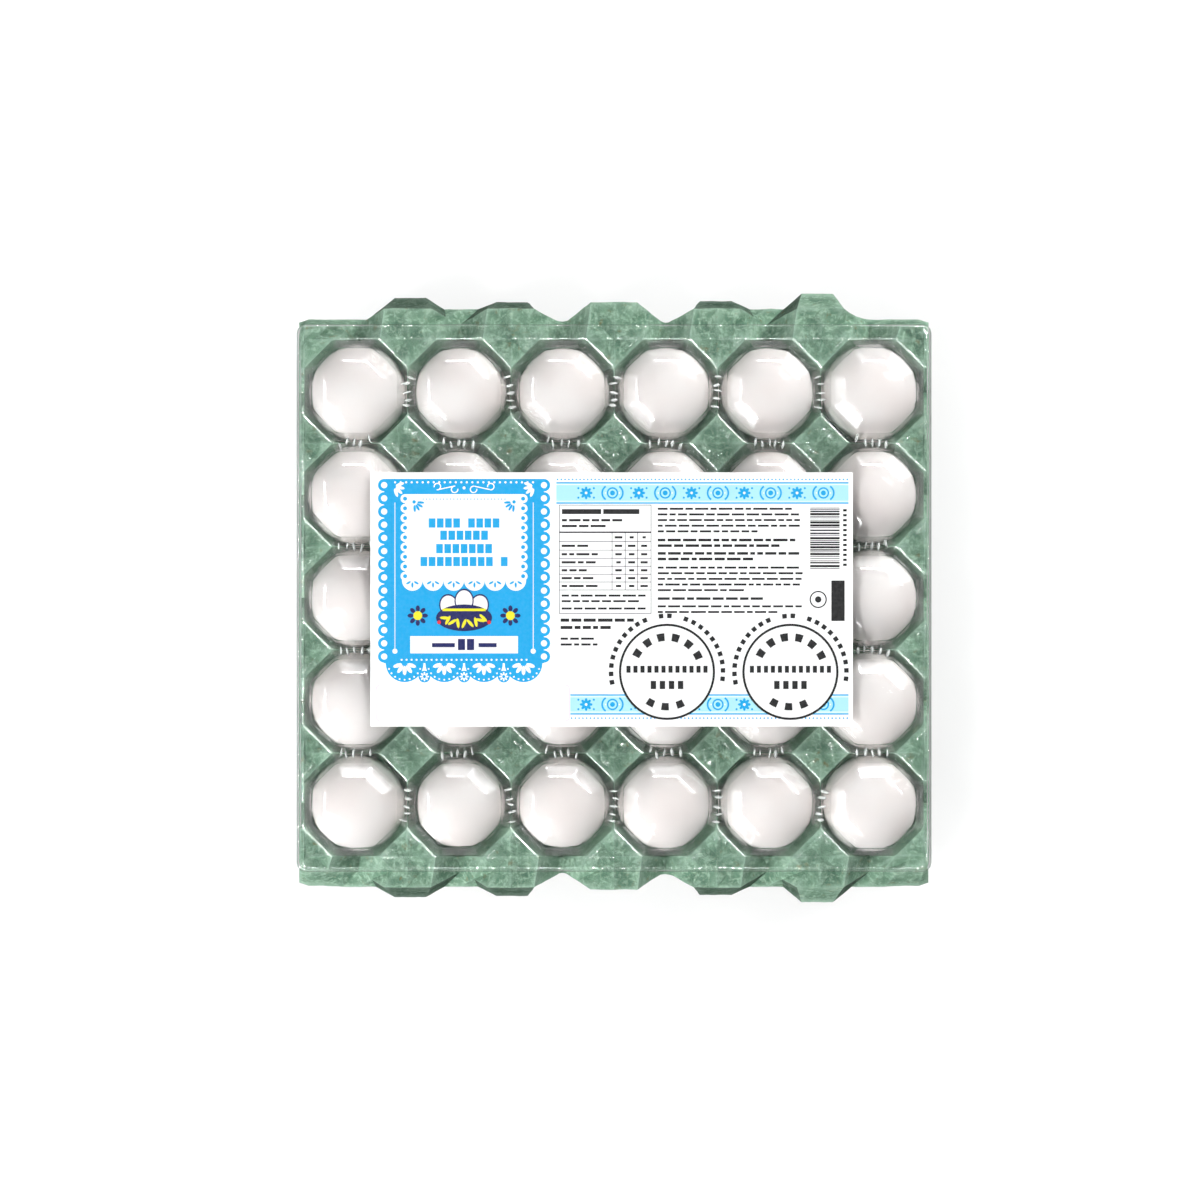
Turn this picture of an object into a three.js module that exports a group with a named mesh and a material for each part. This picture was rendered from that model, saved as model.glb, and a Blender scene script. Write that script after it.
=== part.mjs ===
// A tray of thirty white eggs: a moulded pulp tray of six by five cups, the eggs standing in it
// blunt end up, a clear thermoformed cover with one eight-sided dome for each egg, and a paper
// label lying on the domes. Millimetres, +Z up. The origin is on the table, under the middle.
import * as THREE from "three";

// The grid of cups, which every piece follows
const COLUMNS = 6;
const ROWS = 5;
const PITCH = 48.5;
const HALF = PITCH / 2;
const SIDE_X = COLUMNS * HALF;
const SIDE_Y = ROWS * HALF;

// The pulp tray: cups, and the posts between them, whose diamond-shaped tops have a ridge to
// each corner, a slight hollow in the middle and sides that droop
const PULP = 2;
const FLOOR_R = 12.2;
const WALL_R = 22.4;
const WALL_Z = 20;
const SADDLE_Z = 29;
const POST_Z = 46;
const DIAMOND = 13.3;
const DIMPLE = 1.2;
const SIDE_DROOP = 2.6;
const SIDE_SADDLE_Z = 36;

// The front and back edges: a wavy crest, and a skirt hanging from it down to a level rim. The
// posts of one edge reach out unevenly, and the two at the corners are pinched in.
const FOLD_Y = SIDE_Y + 14.8;
const FOLD_HALF = 11;
const FOLD_Z = 44;
const FOLD_CROWN = 1.4;
const ARCH_Y = SIDE_Y + 8.6;
const ARCH_Z = 28.5;
const RIM_Z = 22;
const RIM_POST_Y = FOLD_Y + 6;
const RIM_POST_HALF = 7.5;
const RIM_SADDLE_Y = SIDE_Y + 16.4;
const RIM_SADDLE_HALF = 8;
const FINGER_NOTCH_POSTS = 1;
const ARCH_SIDE_DROP = 1;
const FRONT = { reach: [0.5, 0, 1, -0.5, 3], cornerRim: 16, outerSaddle: 16.4 };
const BACK = { reach: [1, -1, 3, -0.5, 3], cornerRim: 11.5, outerSaddle: 11.5 };
const CORNER_PINCH = 0.3;
const CORNER_FOLD_Y = SIDE_Y + 6.5;
const CORNER_ROUND = 1.5;

// The left and right edges: a narrow crest and a straight skirt
const CREST_X = SIDE_X + 1.8;
const CREST_DROP = 0.5;
const CREST_CORNER_RISE = 0.8;
const RIM_SIDE_X = SIDE_X + 4.5;

// The eggs, whose usual width differs a little from column to column
const EGG_LENGTH = 57;
const EGG_WIDTHS = [44.6, 42.2, 42.8, 43.7, 43.2, 44.3];
const EGG_BLUNTNESS = 0.12;
const EGG_SIDES = 10;
const EGG_RINGS = 7;
const EGG_SPREAD = 0.015;
const EGG_TILT = THREE.MathUtils.degToRad(2.2);
const GAP = 0.3;

// The clear cover: a flat flange with domes rising from it
const FILM = 0.5;
const COVER_Z = POST_Z + GAP + FILM;
const DOME_RINGS = [
  { half: HALF, side: HALF - DIAMOND, z: COVER_Z },
  { half: 19.6, side: 8.4, z: COVER_Z + 10 },
  { half: 13.2, side: 5.5, z: COVER_Z + 14.4 },
  { half: 6.4, side: 2.65, z: COVER_Z + 15.8 },
];
const FLANGE_X = SIDE_X + 1.3;
const FLANGE_Y = SIDE_Y + 5;
const FLANGE_CORNER = 4;

// The paper label
const LABEL = { width: 224, height: 118, thickness: 0.4, x: -1.2, y: -0.7 };
const LABEL_Z = DOME_RINGS.at(-1).z + GAP;

const MATERIALS = {
  pulp: new THREE.MeshStandardMaterial({ color: 0x7fae94, roughness: 0.95, metalness: 0 }),
  shell: new THREE.MeshStandardMaterial({ color: 0xf1e9e6, roughness: 0.5, metalness: 0 }),
  film: new THREE.MeshStandardMaterial({
    color: 0xf4f8f7, roughness: 0.05, metalness: 0, transparent: true, opacity: 0.25,
  }),
  paper: new THREE.MeshStandardMaterial({ color: 0xfafafa, roughness: 0.6, metalness: 0 }),
};

const columnX = (column) => (column - (COLUMNS - 1) / 2) * PITCH;
const rowY = (row) => (row - (ROWS - 1) / 2) * PITCH;
const point = (x, y, z) => new THREE.Vector3(x, y, z);

// An open surface made of polygons, seen from above and counter-clockwise, whose corners are
// shared where they meet.
class Sheet {
  constructor() {
    this.points = [];
    this.triangles = [];
    this.known = new Map();
  }

  corner(p) {
    const key = [p.x, p.y, p.z].map((v) => Math.round(v * 1000)).join(",");
    if (!this.known.has(key)) {
      this.known.set(key, this.points.length);
      this.points.push(p.clone());
    }
    return this.known.get(key);
  }

  face(...polygon) {
    const ids = polygon.map((p) => this.corner(p));
    for (let i = 2; i < ids.length; i++) {
      const triangle = [ids[0], ids[i - 1], ids[i]];
      if (new Set(triangle).size === 3) this.triangles.push(triangle);
    }
  }

  // A face, turned over where the pattern was mirrored
  mirroredFace(mirrored, ...polygon) {
    this.face(...(mirrored ? polygon.reverse() : polygon));
  }

  // A closed belt of quads between two rings with the same number of corners
  belt(inner, outer) {
    inner.forEach((p, i) => {
      const next = (i + 1) % inner.length;
      this.face(p, outer[i], outer[next], inner[next]);
    });
  }

  // A closed belt where the outer ring has twice as many corners, each inner one below an odd one
  wideningBelt(inner, outer) {
    inner.forEach((p, i) => {
      const [a, b, c] = [1, 2, 3].map((k) => outer[(2 * i + k) % outer.length]);
      const next = inner[(i + 1) % inner.length];
      this.face(p, a, b);
      this.face(p, b, next);
      this.face(next, b, c);
    });
  }
}

// How far each corner of a sheet moves so that all the faces round it move in by the same
// thickness: least squares over their planes, held near the mean normal on a sharp ridge.
function offsets(sheet, thickness) {
  const LONGEST = 1.5 * thickness;
  const EASE = 0.02;
  const planes = sheet.points.map(() => []);
  for (const ids of sheet.triangles) {
    const normal = new THREE.Vector3();
    new THREE.Triangle(...ids.map((i) => sheet.points[i])).getNormal(normal);
    ids.forEach((id, k) => {
      const a = sheet.points[ids[(k + 1) % 3]].clone().sub(sheet.points[id]);
      const b = sheet.points[ids[(k + 2) % 3]].clone().sub(sheet.points[id]);
      planes[id].push({ normal, weight: a.angleTo(b) });
    });
  }
  return planes.map((list) => {
    const mean = new THREE.Vector3();
    list.forEach(({ normal, weight }) => mean.addScaledVector(normal, weight));
    mean.normalize();
    const rows = [0, 0, 0, 0, 0, 0, 0, 0, 0];
    const right = new THREE.Vector3();
    const add = ({ x, y, z }, w) => {
      const n = [x, y, z];
      for (let i = 0; i < 9; i++) rows[i] += w * n[Math.floor(i / 3)] * n[i % 3];
    };
    list.forEach(({ normal, weight }) => {
      add(normal, weight);
      right.addScaledVector(normal, weight * thickness);
    });
    [0, 4, 8].forEach((i) => (rows[i] += EASE));
    right.addScaledVector(mean, EASE * thickness);
    const move = right.applyMatrix3(new THREE.Matrix3().set(...rows).invert());
    return move.clampLength(thickness, LONGEST);
  });
}

// The closed solid between a sheet and its copy moved in by the thickness
function shellGeometry(sheet, thickness, groundZ) {
  const moves = offsets(sheet, thickness);
  const under = sheet.points.map((p, i) => {
    const q = p.clone().sub(moves[i]);
    if (groundZ !== undefined && p.z <= groundZ + thickness) q.z = groundZ;
    return q;
  });
  const count = sheet.points.length;
  const index = [];
  const edges = new Map();
  for (const [a, b, c] of sheet.triangles) {
    index.push(a, b, c, c + count, b + count, a + count);
    [[a, b], [b, c], [c, a]].forEach(([from, to]) => {
      if (!edges.delete(`${to},${from}`)) edges.set(`${from},${to}`, [from, to]);
    });
  }
  for (const [from, to] of edges.values()) {
    index.push(to, from, from + count, from + count, to + count, to);
  }
  const geometry = new THREE.BufferGeometry();
  geometry.setFromPoints([...sheet.points, ...under]);
  geometry.setIndex(index);
  return geometry;
}

// The four quarter turns of a list of points round a cup's centre
function quarterTurns(x, y, list) {
  return [0, 1, 2, 3].flatMap((turn) =>
    list.map((p) =>
      p.clone().applyAxisAngle(new THREE.Vector3(0, 0, 1), (turn * Math.PI) / 2).add(point(x, y, 0)),
    ),
  );
}

// A cup's upper edge: the low middle of each side, then the long edge of a diamond
function cupEdge(column, row) {
  const edge = quarterTurns(columnX(column), rowY(row), [
    point(HALF, 0, SADDLE_Z),
    point(HALF, HALF - DIAMOND, POST_Z),
    point(HALF - DIAMOND / 2, HALF - DIAMOND / 2, POST_Z - SIDE_DROOP),
    point(HALF - DIAMOND, HALF, POST_Z),
  ]);
  for (const p of edge) {
    if (p.z === SADDLE_Z && Math.abs(Math.abs(p.x) - SIDE_X) < 0.01) p.z = SIDE_SADDLE_Z;
  }
  return edge;
}

function cupRing(column, row, radius, z) {
  const turn = Math.atan2(HALF - DIAMOND, HALF);
  const angles = [turn, Math.PI / 2 - turn];
  const quarter = angles.map((a) => point(radius * Math.cos(a), radius * Math.sin(a), z));
  return quarterTurns(columnX(column), rowY(row), quarter);
}

function addCup(sheet, column, row) {
  const floor = cupRing(column, row, FLOOR_R, PULP);
  const wall = cupRing(column, row, WALL_R, WALL_Z);
  sheet.face(...floor);
  sheet.belt(floor, wall);
  sheet.wideningBelt(wall, cupEdge(column, row));
}

// The left and right edges cut the posts at their ends in half
const isSidePost = (post) => Math.abs(post) === COLUMNS / 2;

// How far a post's top reaches past the cups, as a share of the diamond
const outwardShare = (post, line, sy) => {
  const outward = (line === 0 && sy < 0) || (line === ROWS && sy > 0);
  return outward && isSidePost(post) ? CORNER_PINCH : 1;
};

// A post's top. Each quarter is there only where a cup or the front or back edge carries it.
function addPostTop(sheet, post, line) {
  const x = post * PITCH;
  const y = line * PITCH - SIDE_Y;
  const centre = point(x, y, POST_Z - DIMPLE);
  [[1, 1], [-1, 1], [-1, -1], [1, -1]].forEach(([sx, sy]) => {
    if (x * sx >= SIDE_X - 1) return;
    const deep = sy * DIAMOND * outwardShare(post, line, sy);
    const side = point(x + sx * DIAMOND, y, POST_Z);
    const middle = point(x + (sx * DIAMOND) / 2, y + deep / 2, POST_Z - SIDE_DROOP);
    const tip = point(x, y + deep, POST_Z);
    sheet.mirroredFace(sx * sy < 0, centre, side, middle);
    sheet.mirroredFace(sx * sy < 0, centre, middle, tip);
  });
}

// Where a post's fold and rim lie on the front or back edge
function postReach(post, sy) {
  const edge = sy < 0 ? FRONT : BACK;
  if (isSidePost(post)) return { foldY: CORNER_FOLD_Y, rimY: SIDE_Y + edge.cornerRim };
  const reach = edge.reach[post + COLUMNS / 2 - 1];
  const carriesSkirt = Math.abs(post) >= FINGER_NOTCH_POSTS;
  return { foldY: carriesSkirt ? FOLD_Y : FOLD_Y + reach, rimY: RIM_POST_Y + reach };
}

// Half a pitch of the front or back edge, from a post to the next saddle: the crest, and the
// skirt where the finger notch doesn't cut it away.
function addEdgeHalf(sheet, post, sx, sy) {
  const x = post * PITCH;
  if (x * sx >= SIDE_X - 1) return;
  const mirrored = sx * sy < 0;
  const at = (dx, y, z) => point(x + sx * dx, sy * y, z);
  const { foldY, rimY } = postReach(post, sy);
  const deep = DIAMOND * (isSidePost(post) ? CORNER_PINCH : 1);
  const middle = at(DIAMOND / 2, SIDE_Y + deep / 2, POST_Z - SIDE_DROOP);
  const corner = at(DIAMOND, SIDE_Y, POST_Z);
  const fold = [at(0, foldY, FOLD_Z + FOLD_CROWN), at(FOLD_HALF, foldY, FOLD_Z)];
  const arch = at(HALF, ARCH_Y, ARCH_Z);
  const archSide = fold[1].clone().lerp(arch, 0.5);
  archSide.z -= ARCH_SIDE_DROP;
  sheet.mirroredFace(mirrored, at(0, SIDE_Y + deep, POST_Z), middle, fold[1], fold[0]);
  sheet.mirroredFace(mirrored, middle, corner, archSide, fold[1]);
  sheet.mirroredFace(mirrored, corner, at(HALF, SIDE_Y, SADDLE_Z), arch, archSide);
  const middleX = Math.abs(x + sx * HALF);
  const outer = middleX > SIDE_X - PITCH;
  const saddleY = outer ? SIDE_Y + (sy < 0 ? FRONT : BACK).outerSaddle : RIM_SADDLE_Y;
  const rimPost = [at(0, rimY, RIM_Z), at(RIM_POST_HALF, rimY, RIM_Z)];
  const rimSaddle = [at(HALF - RIM_SADDLE_HALF, saddleY, RIM_Z), at(HALF, saddleY, RIM_Z)];
  if (Math.abs(post) >= FINGER_NOTCH_POSTS) {
    sheet.mirroredFace(mirrored, fold[0], fold[1], rimPost[1], rimPost[0]);
  }
  if (middleX > FINGER_NOTCH_POSTS * PITCH) {
    sheet.mirroredFace(mirrored, fold[1], archSide, rimSaddle[0], rimPost[1]);
    sheet.mirroredFace(mirrored, archSide, arch, rimSaddle[1], rimSaddle[0]);
  }
}

// The left and right edges, as strips between the stations where the crest changes height
function addSideEdge(sheet, sx) {
  const stations = [];
  for (let row = 0; row < ROWS; row++) {
    const y = rowY(row);
    stations.push([y - HALF, POST_Z], [y - HALF + DIAMOND, POST_Z], [y, SIDE_SADDLE_Z]);
    stations.push([y + HALF - DIAMOND, POST_Z]);
  }
  stations.push([SIDE_Y, POST_Z]);
  const levels = ([y, z]) => [
    point(sx * SIDE_X, y, z),
    point(sx * CREST_X, y, z - CREST_DROP),
    point(sx * RIM_SIDE_X, y, RIM_Z),
  ];
  for (let i = 1; i < stations.length; i++) {
    const low = levels(stations[i - 1]);
    const high = levels(stations[i]);
    sheet.mirroredFace(sx < 0, low[0], low[1], high[1], high[0]);
    sheet.mirroredFace(sx < 0, low[1], low[2], high[2], high[1]);
  }
}

function addCorner(sheet, sx, sy) {
  const mirrored = sx * sy < 0;
  const { foldY, rimY } = postReach((sx * COLUMNS) / 2, sy);
  const at = (x, y, z) => point(sx * x, sy * y, z);
  const post = at(SIDE_X, SIDE_Y, POST_Z);
  const tip = at(SIDE_X, SIDE_Y + DIAMOND * CORNER_PINCH, POST_Z);
  const fold = at(SIDE_X, foldY, FOLD_Z + FOLD_CROWN);
  const crest = [
    at(CREST_X, SIDE_Y, POST_Z - CREST_DROP),
    at(CREST_X, foldY - CORNER_ROUND / 2, FOLD_Z + CREST_CORNER_RISE),
  ];
  const rim = [at(RIM_SIDE_X, SIDE_Y, RIM_Z), at(RIM_SIDE_X, rimY - CORNER_ROUND, RIM_Z)];
  sheet.mirroredFace(mirrored, post, crest[0], crest[1], tip);
  sheet.mirroredFace(mirrored, tip, crest[1], fold);
  sheet.mirroredFace(mirrored, crest[0], rim[0], rim[1], crest[1]);
  sheet.mirroredFace(mirrored, fold, crest[1], rim[1], at(SIDE_X, rimY, RIM_Z));
}

function trayMesh() {
  const sheet = new Sheet();
  for (let column = 0; column < COLUMNS; column++) {
    for (let row = 0; row < ROWS; row++) addCup(sheet, column, row);
  }
  for (let post = -COLUMNS / 2; post <= COLUMNS / 2; post++) {
    for (let line = 0; line <= ROWS; line++) addPostTop(sheet, post, line);
    for (const sx of [-1, 1]) for (const sy of [-1, 1]) addEdgeHalf(sheet, post, sx, sy);
  }
  for (const sx of [-1, 1]) {
    addSideEdge(sheet, sx);
    for (const sy of [-1, 1]) addCorner(sheet, sx, sy);
  }
  return new THREE.Mesh(shellGeometry(sheet, PULP, 0), MATERIALS.pulp);
}

// Small repeatable differences between one egg and the next, from -1 to 1
function wobble(index, channel) {
  const wave = Math.sin(index * 12.9898 + channel * 78.233) * 43758.5453;
  return 2 * (wave - Math.floor(wave)) - 1;
}

function eggMesh(column, row) {
  const index = row * COLUMNS + column;
  const length = EGG_LENGTH * (1 + EGG_SPREAD * wobble(index, 1));
  const width = EGG_WIDTHS[column] * (1 + EGG_SPREAD * wobble(index, 2));
  const profile = [new THREE.Vector2(0, -length / 2)];
  for (let ring = 1; ring <= EGG_RINGS; ring++) {
    const turn = (ring / (EGG_RINGS + 1) - 0.5) * Math.PI;
    const out = Math.cos(turn) * (1 + EGG_BLUNTNESS * Math.sin(turn));
    profile.push(new THREE.Vector2((out * width) / 2, (Math.sin(turn) * length) / 2));
  }
  profile.push(new THREE.Vector2(0, length / 2));
  const geometry = new THREE.LatheGeometry(profile, EGG_SIDES).rotateX(Math.PI / 2);
  const mesh = new THREE.Mesh(geometry, MATERIALS.shell);
  mesh.rotation.set(EGG_TILT * wobble(index, 3), EGG_TILT * wobble(index, 4), 0);
  mesh.position.set(columnX(column), rowY(row), PULP + 2 * GAP + length / 2);
  return mesh;
}

function domeRing(column, row, { half, side, z }) {
  return quarterTurns(columnX(column), rowY(row), [point(half, -side, z), point(half, side, z)]);
}

function coverMesh() {
  const sheet = new Sheet();
  for (let column = 0; column < COLUMNS; column++) {
    for (let row = 0; row < ROWS; row++) {
      const rings = DOME_RINGS.map((ring) => domeRing(column, row, ring));
      for (let i = 1; i < rings.length; i++) sheet.belt(rings[i], rings[i - 1]);
      sheet.face(...rings.at(-1));
    }
  }
  addDiamondFlats(sheet);
  addFlange(sheet);
  return new THREE.Mesh(shellGeometry(sheet, FILM), MATERIALS.film);
}

// The flat diamonds between the domes, which lie over the posts of the tray
function addDiamondFlats(sheet) {
  for (let post = -COLUMNS / 2; post <= COLUMNS / 2; post++) {
    for (let line = 0; line <= ROWS; line++) {
      const x = post * PITCH;
      const y = line * PITCH - SIDE_Y;
      const corners = [[1, 0], [0, 1], [-1, 0], [0, -1]]
        .map(([dx, dy]) => point(x + dx * DIAMOND, y + dy * DIAMOND, COVER_Z))
        .filter((p) => Math.abs(p.x) < SIDE_X + 1 && Math.abs(p.y) < SIDE_Y + 1);
      if (corners.length === 4) sheet.face(...corners);
      if (corners.length === 3) addHalfDiamond(sheet, corners);
      if (corners.length === 2) addHalfDiamond(sheet, [...corners, point(x, y, COVER_Z)]);
    }
  }
}

function addHalfDiamond(sheet, corners) {
  const [a, b, c] = corners;
  const turn = (b.x - a.x) * (c.y - a.y) - (b.y - a.y) * (c.x - a.x);
  sheet.mirroredFace(turn < 0, a, b, c);
}

// The flange: the ring between the domes' field and a rectangle with rounded corners
function addFlange(sheet) {
  const ticks = (cells) =>
    Array.from({ length: cells }, (_, i) => (i - (cells - 1) / 2) * PITCH).flatMap((middle) => [
      middle - HALF + DIAMOND,
      middle + HALF - DIAMOND,
    ]);
  const xs = ticks(COLUMNS);
  const ys = ticks(ROWS);
  for (const sign of [-1, 1]) {
    for (let i = 1; i < xs.length; i++) {
      const inner = [xs[i - 1], xs[i]].map((x) => point(x, sign * SIDE_Y, COVER_Z));
      const outer = [xs[i - 1], xs[i]].map((x) => point(x, sign * FLANGE_Y, COVER_Z));
      sheet.mirroredFace(sign < 0, inner[0], inner[1], outer[1], outer[0]);
    }
    for (let i = 1; i < ys.length; i++) {
      const inner = [ys[i - 1], ys[i]].map((y) => point(sign * SIDE_X, y, COVER_Z));
      const outer = [ys[i - 1], ys[i]].map((y) => point(sign * FLANGE_X, y, COVER_Z));
      sheet.mirroredFace(sign > 0, inner[0], inner[1], outer[1], outer[0]);
    }
    for (const sy of [-1, 1]) addFlangeCorner(sheet, sign, sy, xs.at(-1), ys.at(-1));
  }
}

function addFlangeCorner(sheet, sx, sy, lastX, lastY) {
  const STEPS = 3;
  const at = (x, y) => point(sx * x, sy * y, COVER_Z);
  const rim = [at(FLANGE_X, lastY)];
  for (let i = 0; i <= STEPS; i++) {
    const turn = (i / STEPS) * (Math.PI / 2);
    const x = FLANGE_X - FLANGE_CORNER * (1 - Math.cos(turn));
    rim.push(at(x, FLANGE_Y - FLANGE_CORNER * (1 - Math.sin(turn))));
  }
  rim.push(at(lastX, FLANGE_Y));
  const hub = at(SIDE_X, SIDE_Y);
  const mirrored = sx * sy < 0;
  sheet.mirroredFace(mirrored, hub, at(SIDE_X, lastY), rim[0]);
  for (let i = 1; i < rim.length; i++) sheet.mirroredFace(mirrored, hub, rim[i - 1], rim[i]);
  sheet.mirroredFace(mirrored, hub, rim.at(-1), at(lastX, SIDE_Y));
}

function labelMesh() {
  const mesh = new THREE.Mesh(
    new THREE.BoxGeometry(LABEL.width, LABEL.height, LABEL.thickness),
    MATERIALS.paper,
  );
  mesh.position.set(LABEL.x, LABEL.y, LABEL_Z + LABEL.thickness / 2);
  return mesh;
}

const pack = new THREE.Group();
const add = (name, mesh) => {
  mesh.name = name;
  pack.add(mesh);
};
add("tray", trayMesh());
for (let row = 0; row < ROWS; row++) {
  for (let column = 0; column < COLUMNS; column++) {
    add(`egg_r${row + 1}_c${column + 1}`, eggMesh(column, row));
  }
}
add("cover", coverMesh());
add("label", labelMesh());

export default pack;
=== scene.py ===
# A tray of thirty white eggs under a clear cover with a paper label, seen from straight above.
# Metres, +Z up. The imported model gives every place; this script gives the finish.
import math
import random

import bmesh
import bpy
from mathutils import Matrix, Vector, noise


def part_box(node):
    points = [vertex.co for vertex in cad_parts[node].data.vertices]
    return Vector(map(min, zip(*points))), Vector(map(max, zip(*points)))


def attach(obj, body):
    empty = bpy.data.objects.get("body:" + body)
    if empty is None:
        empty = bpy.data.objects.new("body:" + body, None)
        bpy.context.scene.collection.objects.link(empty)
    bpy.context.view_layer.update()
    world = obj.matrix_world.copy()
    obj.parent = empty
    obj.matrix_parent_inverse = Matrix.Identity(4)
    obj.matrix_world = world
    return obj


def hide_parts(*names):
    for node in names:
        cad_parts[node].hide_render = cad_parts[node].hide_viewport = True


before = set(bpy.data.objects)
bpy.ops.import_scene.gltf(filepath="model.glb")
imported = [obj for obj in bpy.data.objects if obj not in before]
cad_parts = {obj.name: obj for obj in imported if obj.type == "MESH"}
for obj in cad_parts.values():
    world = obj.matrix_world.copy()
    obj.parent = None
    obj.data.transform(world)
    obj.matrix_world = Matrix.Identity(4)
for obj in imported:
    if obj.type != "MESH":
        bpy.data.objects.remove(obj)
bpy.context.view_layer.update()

# Sizes, in metres
MM = 0.001
COLUMNS = 6
ROWS = 5
PITCH = 48.5 * MM
DIAMOND = 13.3 * MM
POST_Z = 46 * MM
COVER_Z = 46.8 * MM
FILM = 0.35 * MM
MERGE = 0.01 * MM

# The camera, straight above, and the place on the table that it looks at. Its lens and sensor
# are in millimetres.
CAMERA_HEIGHT = 1.6
CAMERA_LENS = 99.3
CAMERA_SENSOR = 36
CAMERA_X = -6.6 * MM
CAMERA_Y = -0.95 * MM


# Shader tools

def new_material(name):
    """An empty material, its node tree and its Principled BSDF wired to the output."""
    material = bpy.data.materials.new(name)
    material.use_nodes = True
    tree = material.node_tree
    return material, tree, tree.nodes["Principled BSDF"]


def add_node(tree, kind, **values):
    """A node with its settings and input values; a name that is no setting is an input."""
    node = tree.nodes.new(kind)
    for name, value in values.items():
        if hasattr(node, name):
            setattr(node, name, value)
        else:
            node.inputs[name.replace("_", " ")].default_value = value
    return node


def object_noise(tree, source, scale, detail=2.0, roughness=0.5, stretch=(1, 1, 1)):
    """Noise on a coordinate output, with the scale in features a metre."""
    mapping = add_node(tree, "ShaderNodeMapping")
    mapping.inputs["Scale"].default_value = stretch
    tree.links.new(source, mapping.inputs["Vector"])
    texture = add_node(tree, "ShaderNodeTexNoise", Scale=scale, Detail=detail, Roughness=roughness)
    tree.links.new(mapping.outputs["Vector"], texture.inputs["Vector"])
    return texture.outputs["Fac"]


def remap(tree, value, low, high, to_low=0.0, to_high=1.0):
    """Stretches a value from one range to another and holds it there."""
    node = add_node(
        tree, "ShaderNodeMapRange", From_Min=low, From_Max=high, To_Min=to_low, To_Max=to_high
    )
    tree.links.new(value, node.inputs["Value"])
    return node.outputs["Result"]


def mix_colours(tree, factor, first, second):
    """Mixes two colours, each an output or four numbers."""
    node = add_node(tree, "ShaderNodeMix", data_type="RGBA")
    sockets = (node.inputs[0], node.inputs[6], node.inputs[7])
    for socket, value in zip(sockets, (factor, first, second)):
        if isinstance(value, bpy.types.NodeSocket):
            tree.links.new(value, socket)
        else:
            socket.default_value = value
    return node.outputs[2]


def bump(tree, height, distance, strength, after=None):
    """A normal tilted by a height, on top of one that comes after another bump."""
    node = add_node(tree, "ShaderNodeBump", Strength=strength, Distance=distance)
    tree.links.new(height, node.inputs["Height"])
    if after is not None:
        tree.links.new(after, node.inputs["Normal"])
    return node.outputs["Normal"]


def fibre_group():
    """The look of pressed fibres: a felt of short strands, soft blotches and sparse flecks."""
    group = bpy.data.node_groups.new("pressed_fibres", "ShaderNodeTree")
    interface = group.interface
    for name, kind in (
        ("Vector", "NodeSocketVector"),
        ("Base", "NodeSocketColor"),
        ("Dark", "NodeSocketColor"),
        ("Light", "NodeSocketColor"),
        ("Fleck", "NodeSocketColor"),
        ("Blotch Scale", "NodeSocketFloat"),
        ("Strand Scale", "NodeSocketFloat"),
        ("Fleck Amount", "NodeSocketFloat"),
    ):
        interface.new_socket(name, in_out="INPUT", socket_type=kind)
    interface.new_socket("Colour", in_out="OUTPUT", socket_type="NodeSocketColor")
    interface.new_socket("Height", in_out="OUTPUT", socket_type="NodeSocketFloat")
    inside = group.nodes.new("NodeGroupInput")
    outside = group.nodes.new("NodeGroupOutput")
    vector = inside.outputs["Vector"]

    def strands(stretch):
        """Short strands, longer where the stretch is smaller."""
        texture = object_noise(group, vector, 1.0, detail=3.0, roughness=0.65, stretch=stretch)
        group.links.new(inside.outputs["Strand Scale"], texture.node.inputs["Scale"])
        return texture

    blotch = object_noise(group, vector, 1.0, detail=4.0, roughness=0.6)
    group.links.new(inside.outputs["Blotch Scale"], blotch.node.inputs["Scale"])
    across = strands((1.0, 0.55, 0.8))
    along = strands((0.6, 1.0, 0.7))
    felt = add_node(group, "ShaderNodeMath", operation="MAXIMUM")
    group.links.new(across, felt.inputs[0])
    group.links.new(along, felt.inputs[1])
    flecks = strands((0.45, 0.45, 0.45))
    fleck_mask = remap(group, flecks, 0.62, 0.72)
    fleck_share = add_node(group, "ShaderNodeMath", operation="MULTIPLY")
    group.links.new(fleck_mask, fleck_share.inputs[0])
    group.links.new(inside.outputs["Fleck Amount"], fleck_share.inputs[1])
    patches = remap(group, blotch, 0.35, 0.68)
    base = mix_colours(group, patches, inside.outputs["Dark"], inside.outputs["Base"])
    raised = remap(group, felt.outputs[0], 0.52, 0.74)
    lit = mix_colours(group, raised, base, inside.outputs["Light"])
    colour = mix_colours(group, fleck_share.outputs[0], lit, inside.outputs["Fleck"])
    group.links.new(colour, outside.inputs["Colour"])
    group.links.new(felt.outputs[0], outside.inputs["Height"])
    return group


def place_fibres(tree, group, **values):
    """The fibre group in a material, on its object coordinates, which are returned too."""
    place = add_node(tree, "ShaderNodeTexCoord")
    node = tree.nodes.new("ShaderNodeGroup")
    node.node_tree = group
    for name, value in values.items():
        node.inputs[name.replace("_", " ")].default_value = value
    tree.links.new(place.outputs["Object"], node.inputs["Vector"])
    return node, place.outputs["Object"]


# Materials

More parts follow.
